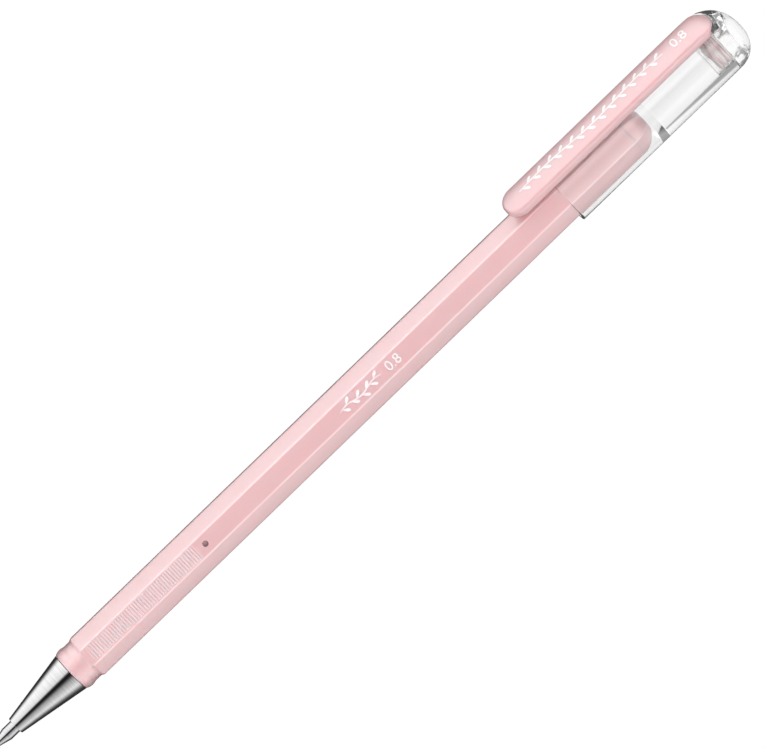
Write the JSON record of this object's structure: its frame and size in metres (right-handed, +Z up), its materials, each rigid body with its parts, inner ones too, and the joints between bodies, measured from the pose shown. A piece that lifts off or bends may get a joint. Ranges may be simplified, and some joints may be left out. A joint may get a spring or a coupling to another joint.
{
  "type": "gel pen",
  "caption": "Slim gel pen with an eight-sided barrel, ribbed grip, metal nose cone and a clear clip cap posted on its tail.",
  "frame": {"origin": "centre of the pen's footprint, on the surface that the cap's underside touches", "axes": "+X along the pen from the writing tip to the cap's end, +Z up out of a barrel flat; the clip stands 45 degrees from +Z towards +Y"},
  "size_m": [0.165, 0.0118, 0.0118],
  "materials": {
    "pearl_pink": "pearly, smooth",
    "clip_pink": "gloss",
    "clear_plastic": "clear, polished",
    "polished_metal": "polished",
    "nib_metal": "turned",
    "carbide": "ground",
    "milky_plastic": "translucent",
    "tube_plastic": "translucent",
    "gel_ink": "wet",
    "grease": "clear grease",
    "soft_seal": "soft, translucent"
  },
  "bodies": {
    "barrel": {"barrel": "pearl_pink", "tail_plug": "pearl_pink"},
    "cap": {"cap_tube": "clear_plastic", "cap_head": "clear_plastic", "inner_seal": "soft_seal"},
    "clip": {"clip": "clip_pink"},
    "refill": {"nib": "nib_metal", "tip_holder": "milky_plastic", "ink_tube": "tube_plastic", "ink_column": "gel_ink", "ink_follower": "grease"},
    "nose_cone": {"nose_cone": "polished_metal"},
    "ball": {"ball": "carbide"}
  },
  "joints": [
    {"name": "cap_pull", "type": "slide", "parent": "barrel", "child": "cap", "axis": [1, 0, 0], "range_m": [0, 0.03]},
    {"name": "clip_flex", "type": "hinge", "parent": "cap", "child": "clip", "pos_m": [0.07845, 0.00233, 0.00824], "axis": [0, 0.7071, -0.7071], "range_deg": [0, 2.5], "stiffness_Nm_per_rad": 1.5},
    {"name": "refill_draw", "type": "slide", "parent": "barrel", "child": "refill", "axis": [-1, 0, 0], "range_m": [0, 0.115]},
    {"name": "nose_cone_turn", "type": "hinge", "parent": "refill", "child": "nose_cone", "pos_m": [-0.06531, -0.001, 0.00492], "axis": [1, 0, 0], "continuous": true},
    {"name": "ball_roll", "type": "hinge", "parent": "refill", "child": "ball", "pos_m": [-0.08205, -0.001, 0.00492], "axis": [0, 1, 0], "continuous": true}
  ]
}
